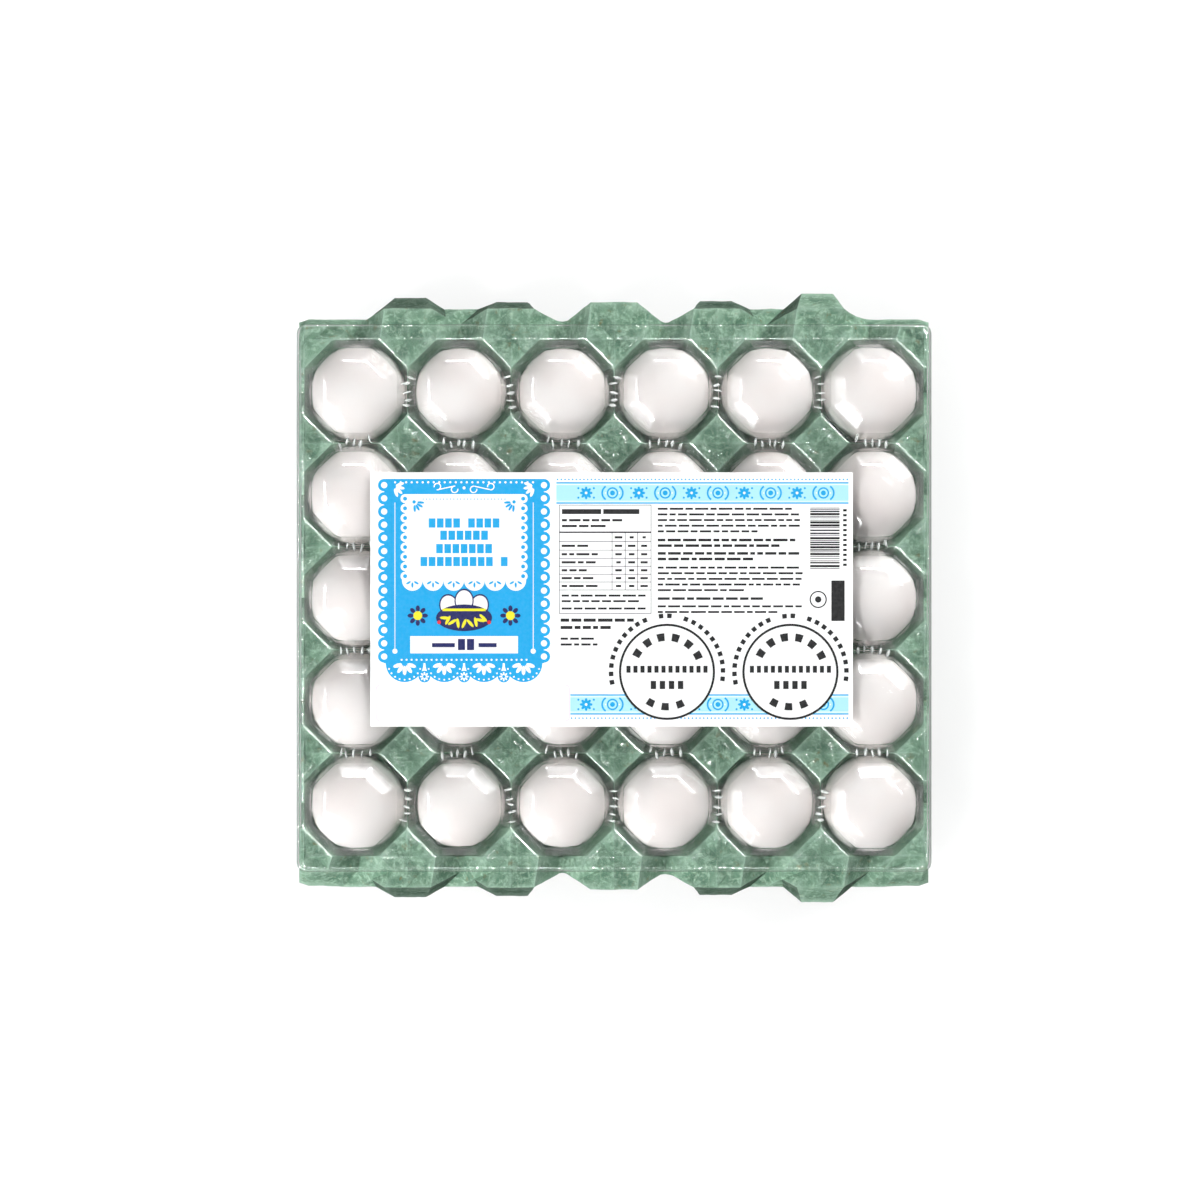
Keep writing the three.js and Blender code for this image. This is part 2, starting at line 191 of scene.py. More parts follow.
PULP_BASE = (0.20, 0.345, 0.24)
PULP_DARK = (0.10, 0.20, 0.135)
PULP_LIGHT = (0.38, 0.56, 0.42)
PULP_FLECK = (0.17, 0.16, 0.07)
# The paler colour of sharp outer edges.
PULP_EDGE_PALE = (0.40, 0.57, 0.45)
PULP_BLOTCH_SCALE = 110.0
PULP_STRAND_SCALE = 430.0
PULP_FLECKS = 0.75
PULP_LUMP_SCALE = 300.0
PULP_LUMP = 1.3 * MM
PULP_FELT = 0.7 * MM
# The post ends' pulp: how much darker it is painted, as shade, and how much rougher it is.
PULP_END_PAINTED_SHADE = 0.42
PULP_END_RELIEF = 1.8
SHELL_BLUSH = (0.85, 0.775, 0.755, 1)
SHELL_PALE = (0.875, 0.825, 0.81, 1)
SHELL_WAVE_SCALE = 220.0
SHELL_WAVE = 0.12 * MM
SHELL_PORE_SCALE = 1800.0
SHELL_PORE = 0.05 * MM
FILM_IOR = 1.32
FILM_FACE_ON = (0.98, 0.98, 0.98, 1)
# The film's colour where it is seen edge on: painted shade.
FILM_EDGE_ON_PAINTED_SHADE = (0.27, 0.28, 0.26, 1)
FILM_PASSING = (0.95, 0.96, 0.96, 1)
# The ribs' pale colour: a painted highlight.
FILM_CREASE_PAINTED_HIGHLIGHT = (0.82, 0.84, 0.83, 1)
FILM_WAVE_SCALE = 150.0
FILM_WAVE = 0.8 * MM
PAPER_FELT = 0.02 * MM
INK_PALER = 0.015
FLOOR_DARK = (0.38, 0.38, 0.38, 1)
FLOOR_LIGHT = (0.40, 0.40, 0.40, 1)
FLOOR_GLOW = 0.58


def pulp_material(group, name, shade, relief):
    """Green moulded pulp: matt and felted, with lumps, and paler on its sharp outer edges. Shade
    scales its colours, which paints shade on the darker copy for the post ends, and relief its
    lumps."""
    material, tree, shader = new_material(name)
    base, dark, light, fleck, edge_pale = (
        (*(shade * channel for channel in colour), 1)
        for colour in (PULP_BASE, PULP_DARK, PULP_LIGHT, PULP_FLECK, PULP_EDGE_PALE)
    )
    fibres, place = place_fibres(
        tree,
        group,
        Base=base,
        Dark=dark,
        Light=light,
        Fleck=fleck,
        Blotch_Scale=PULP_BLOTCH_SCALE,
        Strand_Scale=PULP_STRAND_SCALE,
        Fleck_Amount=PULP_FLECKS,
    )
    geometry = add_node(tree, "ShaderNodeNewGeometry")
    # Paler on sharp outer edges, where the surface is most pointed.
    sharp_edges = remap(tree, geometry.outputs["Pointiness"], 0.505, 0.56, 0.0, 0.55)
    colour = mix_colours(tree, sharp_edges, fibres.outputs["Colour"], edge_pale)
    tree.links.new(colour, shader.inputs["Base Color"])
    shader.inputs["Roughness"].default_value = 0.95
    shader.inputs["Specular IOR Level"].default_value = 0.05
    lumps = object_noise(tree, place, PULP_LUMP_SCALE, detail=4.0, roughness=0.65)
    coarse = bump(tree, lumps, relief * PULP_LUMP, strength=0.9)
    fine = bump(tree, fibres.outputs["Height"], relief * PULP_FELT, strength=0.9, after=coarse)
    tree.links.new(fine, shader.inputs["Normal"])
    return material


def shell_material():
    """White eggshell: a satin skin with fine pores and a faint warm blush."""
    material, tree, shader = new_material("shell_white")
    place = add_node(tree, "ShaderNodeTexCoord").outputs["Object"]
    blush = remap(tree, object_noise(tree, place, 38.0, detail=3.0), 0.35, 0.65)
    colour = mix_colours(tree, blush, SHELL_BLUSH, SHELL_PALE)
    tree.links.new(colour, shader.inputs["Base Color"])
    shader.inputs["Roughness"].default_value = 0.6
    shader.inputs["Specular IOR Level"].default_value = 0.04
    pores = object_noise(tree, place, SHELL_PORE_SCALE, detail=2.0, roughness=0.6)
    waves = object_noise(tree, place, SHELL_WAVE_SCALE, detail=2.0)
    coarse = bump(tree, waves, SHELL_WAVE, strength=0.5)
    fine = bump(tree, pores, SHELL_PORE, strength=0.5, after=coarse)
    tree.links.new(fine, shader.inputs["Normal"])
    return material


def film_material():
    """Clear film: glass whose colour darkens where it is seen edge on, a painted shade for the dark
    low places between the domes, with slow waves that break its highlights. Lamp light and light
    thrown back by matt things pass it with only a faint tint."""
    material, tree, shader = new_material("film_clear")
    # Painted shade: the colour darkens as the film is seen more edge on.
    facing = add_node(tree, "ShaderNodeLayerWeight", Blend=0.5)
    steep_painted_shade = remap(tree, facing.outputs["Facing"], 0.42, 0.78)
    tint = mix_colours(tree, steep_painted_shade, FILM_FACE_ON, FILM_EDGE_ON_PAINTED_SHADE)
    tree.links.new(tint, shader.inputs["Base Color"])
    shader.inputs["Roughness"].default_value = 0.11
    shader.inputs["IOR"].default_value = FILM_IOR
    shader.inputs["Transmission Weight"].default_value = 1.0
    place = add_node(tree, "ShaderNodeTexCoord").outputs["Object"]
    waves = object_noise(tree, place, FILM_WAVE_SCALE, detail=2.0)
    tree.links.new(bump(tree, waves, FILM_WAVE, strength=0.4), shader.inputs["Normal"])
    clear = add_node(tree, "ShaderNodeBsdfTransparent", Color=FILM_PASSING)
    path = add_node(tree, "ShaderNodeLightPath")
    passing = add_node(tree, "ShaderNodeMath", operation="MAXIMUM")
    tree.links.new(path.outputs["Is Shadow Ray"], passing.inputs[0])
    tree.links.new(path.outputs["Is Diffuse Ray"], passing.inputs[1])
    either = add_node(tree, "ShaderNodeMixShader")
    tree.links.new(passing.outputs["Value"], either.inputs["Fac"])
    tree.links.new(shader.outputs["BSDF"], either.inputs[1])
    tree.links.new(clear.outputs["BSDF"], either.inputs[2])
    tree.links.new(either.outputs["Shader"], tree.nodes["Material Output"].inputs["Surface"])
    return material


def crease_painted_highlight_material():
    """Film where it is gathered into a rib: pale and half clear, a painted highlight so that the
    ribs show white.
    """
    material, _, shader = new_material("film_crease_painted_highlight")
    shader.inputs["Base Color"].default_value = FILM_CREASE_PAINTED_HIGHLIGHT
    shader.inputs["Roughness"].default_value = 0.25
    shader.inputs["IOR"].default_value = FILM_IOR
    shader.inputs["Transmission Weight"].default_value = 0.5
    return material


def paper_material(group):
    """White coated paper with a barely visible felt."""
    material, tree, shader = new_material("paper_white")
    fibres, _ = place_fibres(
        tree,
        group,
        Base=(0.93, 0.93, 0.935, 1),
        Dark=(0.90, 0.90, 0.91, 1),
        Light=(0.95, 0.95, 0.95, 1),
        Fleck=(0.88, 0.88, 0.89, 1),
        Blotch_Scale=40.0,
        Strand_Scale=900.0,
        Fleck_Amount=0.2,
    )
    tree.links.new(fibres.outputs["Colour"], shader.inputs["Base Color"])
    shader.inputs["Roughness"].default_value = 0.5
    felt = bump(tree, fibres.outputs["Height"], PAPER_FELT, strength=0.4)
    tree.links.new(felt, shader.inputs["Normal"])
    return material


def ink_material(name, colour):
    """Printing ink: a flat colour that varies a little as a screen print does."""
    material, tree, shader = new_material(f"ink_{name}")
    place = add_node(tree, "ShaderNodeTexCoord").outputs["Object"]
    grain = remap(tree, object_noise(tree, place, 700.0, detail=3.0), 0.3, 0.7)
    pale = tuple(channel + INK_PALER * (1 - channel) for channel in colour)
    tree.links.new(mix_colours(tree, grain, (*colour, 1), (*pale, 1)), shader.inputs["Base Color"])
    shader.inputs["Roughness"].default_value = 0.5
    shader.inputs["Specular IOR Level"].default_value = 0.08
    return material


def floor_material():
    """A table that throws back less than half of the light, so that the pack's sides stay dark,
    and that glows to the camera alone, so that it looks white."""
    material, tree, shader = new_material("floor_white")
    place = add_node(tree, "ShaderNodeTexCoord").outputs["Object"]
    soft = remap(tree, object_noise(tree, place, 3.0), 0.2, 0.8)
    tree.links.new(mix_colours(tree, soft, FLOOR_DARK, FLOOR_LIGHT), shader.inputs["Base Color"])
    shader.inputs["Roughness"].default_value = 0.9
    path = add_node(tree, "ShaderNodeLightPath")
    glow = remap(tree, path.outputs["Is Camera Ray"], 0, 1, 0, FLOOR_GLOW)
    tree.links.new(glow, shader.inputs["Emission Color"])
    shader.inputs["Emission Strength"].default_value = 1
    return material


# Mesh tools

def merged_copy(node):
    """A CAD node's shape as a bmesh with its loose triangles joined."""
    bm = bmesh.new()
    bm.from_mesh(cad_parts[node].data)
    bmesh.ops.remove_doubles(bm, verts=bm.verts, dist=MERGE)
    return bm


def make_piece(name, bm, material, slot, *nodes, smooth=True):
    """Turns a bmesh into a piece of the object that stands for the given nodes."""
    mesh = bpy.data.meshes.new(name)
    for face in bm.faces:
        face.smooth = smooth
    bm.to_mesh(mesh)
    bm.free()
    piece = bpy.data.objects.new(name, mesh)
    bpy.context.scene.collection.objects.link(piece)
    mesh.materials.append(material)
    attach(piece, "root")
    if nodes:
        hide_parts(*nodes)
    return piece


def apply_modifiers(piece):
    """Replaces the piece's mesh by what its modifiers make of it."""
    graph = bpy.context.evaluated_depsgraph_get()
    shaped = bpy.data.meshes.new_from_object(piece.evaluated_get(graph))
    shaped.name = piece.data.name
    piece.modifiers.clear()
    piece.data = shaped


def move_along_normals(mesh, height):
    """Moves each corner of a mesh along its normal by what a function of its place says."""
    corners = [vertex.co.copy() for vertex in mesh.vertices]
    normals = [normal.vector.copy() for normal in mesh.vertex_normals]
    moved = [corner + normal * height(corner) for corner, normal in zip(corners, normals)]
    mesh.vertices.foreach_set("co", [value for corner in moved for value in corner])
    mesh.update()


def subdivide(piece, levels):
    """Rounds a piece, apart from its creased edges."""
    modifier = piece.modifiers.new("rounding", "SUBSURF")
    modifier.levels = levels
    modifier.render_levels = levels


# The tray

TRAY_LEVELS = 2
TRAY_JOIN_ANGLE = math.radians(12)
TRAY_JOIN_SHAPE = math.radians(60)
TRAY_CREASE = 1.0
TRAY_CREASE_ANGLE = math.radians(18)
TRAY_HIGH_Z = 0.6 * POST_Z
TRAY_HOLLOW = 0.05
TRAY_FOOT_Z = 1 * MM
TRAY_FLAT_Z = 3 * MM
TRAY_END_SLOPE = 0.3
TRAY_END_Y = 132 * MM
TRAY_EDGE_Y = 122 * MM
TRAY_EDGE_X = 146 * MM
TRAY_LUMP = 0.3 * MM
TRAY_LUMP_SCALE = 140


def make_tray(material, end_painted_shade_material):
    """The tray's own shape with its folds softened and its walls made uneven, as pulp dries. The
    upright ends of its posts are rougher, and darker by painted shade."""
    bm = merged_copy("tray")
    bmesh.ops.join_triangles(
        bm,
        faces=bm.faces,
        angle_face_threshold=TRAY_JOIN_ANGLE,
        angle_shape_threshold=TRAY_JOIN_SHAPE,
    )
    crease = bm.edges.layers.float.new("crease_edge")
    for edge in bm.edges:
        if is_crisp_fold(edge):
            edge[crease] = TRAY_CREASE
            edge.smooth = False
        elif all(corner.co.z < TRAY_FOOT_Z for corner in edge.verts):
            edge[crease] = TRAY_CREASE
    for face in bm.faces:
        # The upright post ends get the pulp with painted shade: darker, as ends turned from the
        # lamps look.
        upright = abs(face.normal.z) < TRAY_END_SLOPE and abs(face.normal.y) > 1 - TRAY_END_SLOPE
        if upright and abs(face.calc_center_median().y) > TRAY_END_Y:
            face.material_index = 1
    piece = make_piece("tray_pulp", bm, material, "pulp", "tray")
    piece.data.materials.append(end_painted_shade_material)
    subdivide(piece, TRAY_LEVELS)
    apply_modifiers(piece)
    move_along_normals(piece.data, tray_lump)
    return piece


def is_crisp_fold(edge):
    """Whether a fold of the tray is sharp: those high up and at the outside are, but the hollows
    between two posts, in line with the eggs, are round."""
    places = [corner.co for corner in edge.verts]
    high = all(place.z > TRAY_HIGH_Z for place in places)
    at_end = all(abs(place.y) > TRAY_EDGE_Y for place in places)
    outer = all(abs(place.y) > TRAY_EDGE_Y or abs(place.x) > TRAY_EDGE_X for place in places)
    in_line = all(abs(place.x / PITCH % 1 - 0.5) < TRAY_HOLLOW for place in places)
    hollow = in_line and at_end
    return (high or outer) and not hollow and edge.calc_face_angle(0) > TRAY_CREASE_ANGLE


def tray_lump(place):
    """How far the pulp stands proud of its smooth shape, which is nowhere by the table."""
    if place.z < TRAY_FLAT_Z:
        return 0
    coarse = noise.noise(place * TRAY_LUMP_SCALE)
    return TRAY_LUMP * (coarse + 0.5 * noise.noise(place * 3 * TRAY_LUMP_SCALE))


# The eggs

EGG_BLUNTNESS = 0.12
EGG_SIDES = 48
EGG_RINGS = 32
EGG_UNEVEN = 0.25 * MM
EGG_UNEVEN_SCALE = 55


def make_egg(node, material):
    """One egg between the poles of its solid, blunt end up, and never quite round."""
    corners = [vertex.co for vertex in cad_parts[node].data.vertices]
    low = min(corners, key=lambda corner: corner.z)
    high = max(corners, key=lambda corner: corner.z)
    lowest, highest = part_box(node)
    width = highest.y - lowest.y
    length = (high - low).length
    bm = bmesh.new()
    bmesh.ops.create_uvsphere(bm, u_segments=EGG_SIDES, v_segments=EGG_RINGS, radius=1)
    turn = Vector((0, 0, 1)).rotation_difference(high - low).to_matrix()
    for vertex in bm.verts:
        x, y, z = vertex.co
        swell = (1 + EGG_BLUNTNESS * z) * width / 2
        vertex.co = (low + high) / 2 + turn @ Vector((x * swell, y * swell, z * length / 2))
        vertex.co += vertex.normal * noise.noise(vertex.co * EGG_UNEVEN_SCALE) * EGG_UNEVEN
    return make_piece(f"{node}_shell", bm, material, "eggshell", node)


# The clear cover

COVER_UP = 0.05
COVER_FLAT_ANGLE = math.radians(1)
COVER_FOLD = 1.8 * MM
COVER_FOLD_ANGLE = math.radians(4)
COVER_LEVEL = 0.999
COVER_BORDER = 0.3
DISH_BORDER = 0.6 * MM
DISH_RADIUS = 6.9 * MM
DISH_CUTS = 7
POCKET_BORDER = 1.3 * MM

# Steps of relief in the film, each its width and its rise
DISH_STEPS = (
    (0.5 * MM, 0.7 * MM),
    (0.45 * MM, 0.2 * MM),
    (0.45 * MM, -0.2 * MM),
    (0.6 * MM, -0.9 * MM),
)
POCKET_STEPS = (
    (0.5 * MM, 0.7 * MM),
    (0.6 * MM, 0.3 * MM),
)
BEAD_STEPS = (
    (0.45 * MM, 0.9 * MM),
    (0.6 * MM, 0.25 * MM),
    (0.6 * MM, -0.25 * MM),
    (0.45 * MM, -0.9 * MM),
)


def make_cover(material):
    """The film, from the upper side of its solid: folds rounded, dishes and pockets pressed in
    over the posts, a bead round the rim, and a real film's thickness."""
    bm = merged_copy("cover")
    under = [face for face in bm.faces if face.normal.z < COVER_UP]
    bmesh.ops.delete(bm, geom=under, context="FACES")
    inside = [edge for edge in bm.edges if all(is_among_domes(corner.co) for corner in edge.verts)]
    bmesh.ops.dissolve_limit(
        bm,
        angle_limit=COVER_FLAT_ANGLE,
        verts=bm.verts,
        edges=inside,
        use_dissolve_boundaries=False,
    )
    bmesh.ops.bevel(
        bm,
        geom=[edge for edge in bm.edges if edge.calc_face_angle(0) > COVER_FOLD_ANGLE],
        offset=COVER_FOLD,
        offset_type="OFFSET",
        segments=4,
        profile=0.5,
        affect="EDGES",
        clamp_overlap=True,
        material=-1,
    )
    press_dishes(bm)
    press_pockets(bm)
    roll_rim(bm)
    piece = make_piece("cover_film", bm, material, "clear_film", "cover")
    wall = piece.modifiers.new("film", "SOLIDIFY")
    wall.thickness = FILM
    wall.offset = -1
    piece.modifiers.new("flat_faces", "WEIGHTED_NORMAL")
    return piece


def is_among_domes(place):
    """Whether a place lies inside the field of domes, not on its border."""
    return abs(place.x) < COLUMNS * PITCH / 2 - MM and abs(place.y) < ROWS * PITCH / 2 - MM


def level_faces(bm, area, at_border):
    """The level faces above an area whose middle lies near the border, or not."""
    found = []
    for face in bm.faces:
        middle = face.calc_center_median()
        near_x = abs(middle.x) > (COLUMNS / 2 - COVER_BORDER) * PITCH
        near_y = abs(middle.y) > (ROWS / 2 - COVER_BORDER) * PITCH
        level = face.normal.z > COVER_LEVEL
        if level and face.calc_area() > area and (near_x or near_y) == at_border:
            found.append(face)
    return found


def inset_steps(bm, faces, steps):
    """Insets faces step by step, so that a relief rises inside their borders."""
    for thickness, depth in steps:
        bmesh.ops.inset_individual(bm, faces=faces, thickness=thickness, depth=depth)


def press_dishes(bm):
    """A round dish with a raised ridge in each diamond between four domes."""
    diamonds = level_faces(bm, DIAMOND**2, False)
    bmesh.ops.inset_individual(bm, faces=diamonds, thickness=DISH_BORDER)
    sides = {edge for face in diamonds for edge in face.edges}
    bmesh.ops.subdivide_edges(bm, edges=list(sides), cuts=DISH_CUTS)
    for face in diamonds:
        middle = face.calc_center_median()
        for corner in face.verts:
            corner.co = middle + (corner.co - middle).normalized() * DISH_RADIUS
    inset_steps(bm, diamonds, DISH_STEPS)


def press_pockets(bm):
    """A raised three-cornered pocket over each post at the cover's edge."""
    halves = level_faces(bm, DIAMOND**2 / 2, True)
    bmesh.ops.inset_individual(bm, faces=halves, thickness=POCKET_BORDER)
    inset_steps(bm, halves, POCKET_STEPS)


def roll_rim(bm):
    """Rolls the open edge outward into a small bead."""
    for outward, upward in BEAD_STEPS:
        edges = [edge for edge in bm.edges if edge.is_boundary]
        made = bmesh.ops.extrude_edge_only(bm, edges=edges)["geom"]
        corners = [item for item in made if isinstance(item, bmesh.types.BMVert)]
        reach_x = max(corner.co.x for corner in corners)
        reach_y = max(corner.co.y for corner in corners)
        grow = (1 + outward / reach_x, 1 + outward / reach_y, 1)
        bmesh.ops.scale(bm, verts=corners, vec=grow)
        bmesh.ops.translate(bm, verts=corners, vec=(0, 0, upward))


# The pleats: small ribs of gathered film in the low places where two domes meet. Their places and
# shift are millimetres along the meeting, and their turn is in radians.

PLEAT_PLACES = (-7.2, -3.9, -0.4, 3.1, 6.8)
PLEAT_SHIFT = 0.7
PLEAT_TURN = 0.3
PLEAT_HEIGHT = 2.1 * MM
PLEAT_SPANS = (1.9 * MM, 2.4 * MM)
PLEAT_WIDTHS = (0.45 * MM, 0.9 * MM)


def make_pleats(material, rng):
    """The pleats at every meeting of two domes, side by side or one behind the other."""
    bm = bmesh.new()
    for column in range(COLUMNS):
        for row in range(ROWS):
            x = (column - (COLUMNS - 1) / 2) * PITCH
            y = (row - (ROWS - 1) / 2) * PITCH
            if column < COLUMNS - 1:
                add_pleats(bm, x + PITCH / 2, y, math.pi / 2, rng)
            if row < ROWS - 1:
                add_pleats(bm, x, y + PITCH / 2, 0, rng)
    make_piece("cover_pleats", bm, material, "clear_film")


def add_pleats(bm, x, y, turn, rng):
    """Five round ribs across one meeting of two domes."""
    for place in PLEAT_PLACES:
        along = (place + rng.uniform(-PLEAT_SHIFT, PLEAT_SHIFT)) * MM
        size = (rng.uniform(*PLEAT_WIDTHS), rng.uniform(*PLEAT_SPANS), PLEAT_HEIGHT, 1)
        matrix = (
            Matrix.Translation((x, y, COVER_Z + PLEAT_HEIGHT))
            @ Matrix.Rotation(turn + rng.uniform(-PLEAT_TURN, PLEAT_TURN), 4, "Z")
            @ Matrix.Translation((along, 0, 0))
            @ Matrix.Diagonal(size)
        )
        bmesh.ops.create_uvsphere(bm, u_segments=8, v_segments=6, radius=1, matrix=matrix)


# The label's print. Places and sizes are millimetres from the label's upper left corner, to the
# right and down, and a level is the ink's place in the stack.

LABEL_LOW, LABEL_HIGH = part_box("label")
INK = 0.03 * MM
INK_LAP = 0.01 * MM
LETTER_GAP = 0.7
WORD_GAP = 1.0
INK_COLOURS = {
    "blue": (0.001, 0.36, 0.74),
    "pale_blue": (0.40, 0.76, 0.88),
    "white": (0.92, 0.92, 0.925),
    "black": (0.008, 0.008, 0.009),
    "navy": (0.004, 0.008, 0.10),
    "yellow": (0.82, 0.75, 0.02),
    "red": (0.68, 0.016, 0.028),
    "pink": (0.84, 0.54, 0.68),
}


class Ink:
    """One printing ink: thin closed solids on the label that share a colour. Shapes of one ink
    that overlap lie a part of a level apart, so that no two faces coincide."""

    def __init__(self, name, colour):
        self.name = name
        self.colour = colour
        self.bm = bmesh.new()

    def place(self, u, v, level):
        """The matrix that brings a shape to its place in the stack."""
        height = LABEL_HIGH.z + (level + 0.5) * INK - INK_LAP
        return Matrix.Translation((LABEL_LOW.x + u * MM, LABEL_HIGH.y - v * MM, height))

    def block(self, u, v, width, height, level=0, turn=0.0):
        """A bar or box about a middle."""
        size = Matrix.Diagonal((width * MM, height * MM, INK, 1))
        matrix = self.place(u, v, level) @ Matrix.Rotation(turn, 4, "Z") @ size
        bmesh.ops.create_cube(self.bm, size=1, matrix=matrix)

    def disc(self, u, v, radius, level=0, sides=16, stretch=1.0, turn=0.0):
        """A disc, or an oval when it is stretched."""
        size = Matrix.Diagonal((radius * stretch * MM, radius * MM, INK, 1))
        matrix = self.place(u, v, level) @ Matrix.Rotation(turn, 4, "Z") @ size
        bmesh.ops.create_cone(
            self.bm,
            cap_ends=True,
            segments=sides,
            radius1=1,
            radius2=1,
            depth=1,
            matrix=matrix,
        )

    def petals(self, u, v, out, length, width, turns, level=0):
        """Leaf shapes that point away from a middle."""
        for index, turn in enumerate(turns):
            reach = out + length / 2
            self.disc(
                u + reach * math.cos(turn),
                v - reach * math.sin(turn),
                width / 2,
                level + 0.2 * (index % 2),
                sides=8,
                stretch=length / width,
                turn=turn,
            )

    def arc(self, u, v, radius, width, level=0, start=0.0, sweep=math.tau):
        """A ring, or a part of one with closed ends."""
        middle = self.place(u, v, level)
        whole = sweep >= math.tau
        corners = []
        for out, up in ((-1, -1), (1, -1), (1, 1), (-1, 1)):
            reach = (radius + out * width / 2) * MM
            corner = (reach * math.cos(start), reach * math.sin(start), up * INK / 2)
            corners.append(self.bm.verts.new(middle @ Vector(corner)))
        sides = [self.bm.edges.new((corners[i - 1], corners[i])) for i in range(4)]
        steps = max(2, round(sweep / math.radians(6)))
        made = bmesh.ops.spin(
            self.bm,
            geom=corners + sides,
            cent=middle.translation,
            axis=(0, 0, 1),
            dvec=(0, 0, 0),
            angle=sweep,
            steps=steps,
            use_merge=whole,
        )
        if not whole:
            last = [item for item in made["geom_last"] if isinstance(item, bmesh.types.BMEdge)]
            bmesh.ops.contextual_create(self.bm, geom=last)
            bmesh.ops.contextual_create(self.bm, geom=sides)

    def words(self, u, v, width, height, rng, lengths=(2.2, 7.0)):
        """A line of small print, each word a plain bar."""
        start = u
        while start < u + width - lengths[0]:
            length = min(rng.uniform(*lengths), u + width - start)
            self.block(start + length / 2, v, length, height)
            start += length + WORD_GAP

    def row(self, u, v, width, radius, pitch, level=0):
        """A row of dots."""
        count = round(width / pitch)
        for i in range(count + 1):
            self.disc(u + i * width / count, v, radius, level, sides=8)

    def frame(self, u, v, width, height, line):
        """Four lines round a box given by its upper left corner and its size."""
        for across in (0, height):
            self.block(u + width / 2, v + across, width + line, line)
        for along in (0, width):
            self.block(u + along, v + height / 2, line, height + line, 0.2)

    def finish(self):
        """Turns everything printed in this ink into one piece."""
        bmesh.ops.recalc_face_normals(self.bm, faces=self.bm.faces)
        material = ink_material(self.name, self.colour)
        make_piece(f"print_{self.name}", self.bm, material, "label_paper", smooth=False)


def turns(first, last, count):
    """Angles in radians, evenly spread from one number of degrees to another."""
    return [math.radians(first + (last - first) * i / (count - 1)) for i in range(count)]


ROUND = [math.tau * i / 8 for i in range(8)]

# The blue lace panel on the left
PANEL_U = 43.5
PANEL_HALF = 37.1
PANEL_TOP = 3.0
PANEL_BOTTOM = 88.6
SCALLOP = 2.92
SCALLOP_PITCH = 6.12
SCALLOP_ROWS = 14
LOBE = 8.8
LOBE_PITCH = 18.4
LOBE_HEM = 1.1
SMALL_LOBE_V = 94.8


def print_lace(blue, white):
    """The panel with its scalloped sides, its rows of dots and the lobes along its foot."""
    blue.block(PANEL_U, (PANEL_TOP + PANEL_BOTTOM) / 2, 2 * PANEL_HALF, PANEL_BOTTOM - PANEL_TOP)
    for side in (-1, 1):
        edge = PANEL_U + side * PANEL_HALF
        for i in range(SCALLOP_ROWS):
            v = PANEL_TOP + SCALLOP + i * SCALLOP_PITCH
            blue.disc(edge, v, SCALLOP, 0.2 + 0.2 * (i % 2))
            white.disc(edge, v, SCALLOP / 2, 1)
        line = PANEL_U + side * (PANEL_HALF - 5)
        white.block(line, 48, 0.3, 68, 1)
        white.disc(line, 83, 1.2, 1.2)
        corner = PANEL_U + side * (PANEL_HALF - 4.5)
        fan = turns(-70, 20, 4) if side < 0 else turns(160, 250, 4)
        white.petals(corner, PANEL_TOP + 3.6, 0.9, 4.2, 1.5, fan, 1)
        print_scroll(white, side)
    white.disc(PANEL_U, 7.2, 0.7, 1)
    white.row(PANEL_U - 32, 4.6, 64, 0.5, 2.55, 1)
    white.row(PANEL_U - 29, 87, 58, 0.45, 2.3, 1)
    for i in range(4):
        u = PANEL_U + (i - 1.5) * LOBE_PITCH
        blue.disc(u, PANEL_BOTTOM, LOBE, 0.2, sides=32)
        white.petals(u, PANEL_BOTTOM, 1.2, 4.4, 1.9, turns(-162, -18, 5), 1)
        for turn in turns(-160, -20, 9):
            along = (LOBE - LOBE_HEM) * math.cos(turn)
            down = (LOBE - LOBE_HEM) * math.sin(turn)
            white.disc(u + along, PANEL_BOTTOM - down, 0.42, 1, sides=8)
    for i in range(3):
        u = PANEL_U + (i - 1) * LOBE_PITCH
        blue.disc(u, SMALL_LOBE_V, 2.8, 0.6)
        white.petals(u, SMALL_LOBE_V, 0.6, 1.6, 0.8, ROUND, 1)


def print_scroll(white, side):
    """A lying S of two curls joined by a slanting stroke."""
    sweep = math.radians(290)
    for out, v, start in ((4.4, 7.9, 80), (12.4, 6.6, -100)):
        u = PANEL_U + side * out
        white.arc(u, v, 1.5, 0.5, 1, start=math.radians(start), sweep=sweep)
    white.block(PANEL_U + side * 8.4, 7.2, 7.4, 0.5, 1.2, turn=-side * math.radians(12))


# The white field inside the lace panel
FIELD_HALF = 27.4
FIELD_TOP = 10.1
FIELD_BOTTOM = 50.2
TITLE_LINES = ((23.5, (4, 4)), (29.2, (6,)), (35.4, (7,)), (41.4, (9, 1)))
TITLE_LETTER = 3.1
TITLE_HEIGHT = 4.3


def print_field(blue, white):
    """A white field with scalloped edges and a plain title of blocks."""
    white.block(PANEL_U, (FIELD_TOP + FIELD_BOTTOM) / 2, 2 * FIELD_HALF, FIELD_BOTTOM - FIELD_TOP, 1)
    for side in (-1, 1):
        edge = PANEL_U + side * FIELD_HALF
        for i in range(9):
            v = FIELD_TOP + 2.1 + i * 4.5
            white.disc(edge, v, 2.1, 1.2)
            blue.disc(edge, v, 0.95, 2)
        corner = PANEL_U + side * (FIELD_HALF - 4.2)
        fan = turns(-85, -5, 4) if side < 0 else turns(185, 265, 4)
        blue.petals(corner, FIELD_TOP + 3.6, 1.4, 3.4, 1.2, fan, 2)
        blue.disc(corner, FIELD_TOP + 3.6, 0.8, 2)
    for i in range(6):
        u = PANEL_U + (i - 2.5) * 9.6
        white.disc(u, FIELD_BOTTOM, 4.8, 1.4, sides=24)
        blue.petals(u, FIELD_BOTTOM, 0.8, 2.6, 1.0, turns(-150, -30, 3), 2)
    blue.row(PANEL_U - 19, 12.4, 38, 0.28, 1.6, 2)
    for v, words in TITLE_LINES:
        print_title(blue, v, words)


